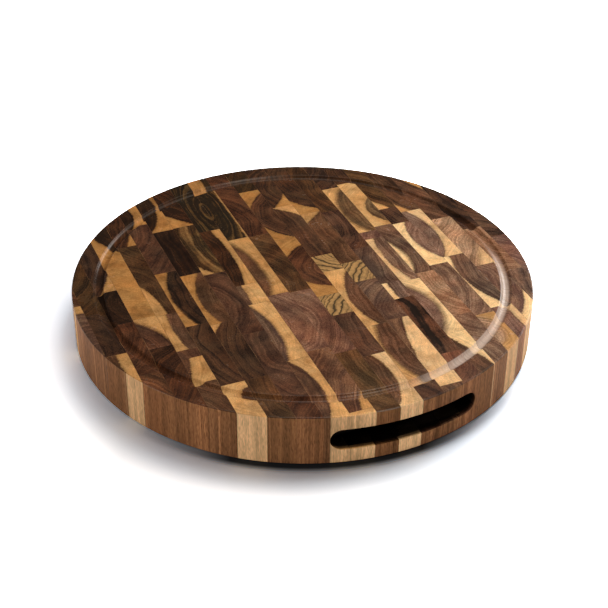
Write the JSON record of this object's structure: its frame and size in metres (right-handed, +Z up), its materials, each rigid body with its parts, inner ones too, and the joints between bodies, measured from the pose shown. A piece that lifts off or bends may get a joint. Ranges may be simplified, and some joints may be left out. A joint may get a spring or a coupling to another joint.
{
  "type": "round end-grain chopping block",
  "caption": "Round end-grain chopping block glued up from upright wood blocks, with a juice groove around the top and a finger slot in the rim at each end.",
  "frame": {"origin": "middle of the underside, at the axis of the round rim", "axes": "+Z up out of the working face; Y along the glued strips, with a hand slot at each end of Y; X across the strips"},
  "size_m": [0.4, 0.4, 0.045],
  "materials": {
    "acacia_rim_blocks": "oiled, satin",
    "acacia_inner_blocks": "oiled, satin",
    "wood_glue": "cured glue line, scraped flush"
  },
  "bodies": {
    "root": {"block_glue_lines": "wood_glue", "strip_01_blocks": "acacia_rim_blocks", "strip_02_blocks": "acacia_rim_blocks", "strip_03_front_block": "acacia_rim_blocks", "strip_03_inner_blocks": "acacia_inner_blocks", "strip_03_rear_block": "acacia_rim_blocks", "strip_04_front_block": "acacia_rim_blocks", "strip_04_inner_blocks": "acacia_inner_blocks", "strip_04_rear_block": "acacia_rim_blocks", "strip_05_front_block": "acacia_rim_blocks", "strip_05_inner_blocks": "acacia_inner_blocks", "strip_05_rear_block": "acacia_rim_blocks", "strip_06_front_block": "acacia_rim_blocks", "strip_06_inner_blocks": "acacia_inner_blocks", "strip_06_rear_block": "acacia_rim_blocks", "strip_07_front_block": "acacia_rim_blocks", "strip_07_inner_blocks": "acacia_inner_blocks", "strip_07_rear_block": "acacia_rim_blocks", "strip_08_front_block": "acacia_rim_blocks", "strip_08_inner_blocks": "acacia_inner_blocks", "strip_08_rear_block": "acacia_rim_blocks", "strip_09_front_block": "acacia_rim_blocks", "strip_09_inner_blocks": "acacia_inner_blocks", "strip_09_rear_block": "acacia_rim_blocks", "strip_10_front_block": "acacia_rim_blocks", "strip_10_inner_blocks": "acacia_inner_blocks", "strip_10_rear_block": "acacia_rim_blocks", "strip_11_front_block": "acacia_rim_blocks", "strip_11_inner_blocks": "acacia_inner_blocks", "strip_11_rear_block": "acacia_rim_blocks", "strip_12_front_block": "acacia_rim_blocks", "strip_12_inner_blocks": "acacia_inner_blocks", "strip_12_rear_block": "acacia_rim_blocks", "strip_13_front_block": "acacia_rim_blocks", "strip_13_inner_blocks": "acacia_inner_blocks", "strip_13_rear_block": "acacia_rim_blocks", "strip_14_front_block": "acacia_rim_blocks", "strip_14_inner_blocks": "acacia_inner_blocks", "strip_14_rear_block": "acacia_rim_blocks", "strip_15_front_block": "acacia_rim_blocks", "strip_15_inner_blocks": "acacia_inner_blocks", "strip_15_rear_block": "acacia_rim_blocks", "strip_16_front_block": "acacia_rim_blocks", "strip_16_inner_blocks": "acacia_inner_blocks", "strip_16_rear_block": "acacia_rim_blocks", "strip_17_front_block": "acacia_rim_blocks", "strip_17_inner_blocks": "acacia_inner_blocks", "strip_17_rear_block": "acacia_rim_blocks", "strip_18_front_block": "acacia_rim_blocks", "strip_18_inner_blocks": "acacia_inner_blocks", "strip_18_rear_block": "acacia_rim_blocks", "strip_19_front_block": "acacia_rim_blocks", "strip_19_inner_blocks": "acacia_inner_blocks", "strip_19_rear_block": "acacia_rim_blocks", "strip_20_front_block": "acacia_rim_blocks", "strip_20_inner_blocks": "acacia_inner_blocks", "strip_20_rear_block": "acacia_rim_blocks", "strip_21_blocks": "acacia_rim_blocks", "strip_22_blocks": "acacia_rim_blocks", "strip_glue_lines": "wood_glue"}
  },
  "joints": []
}
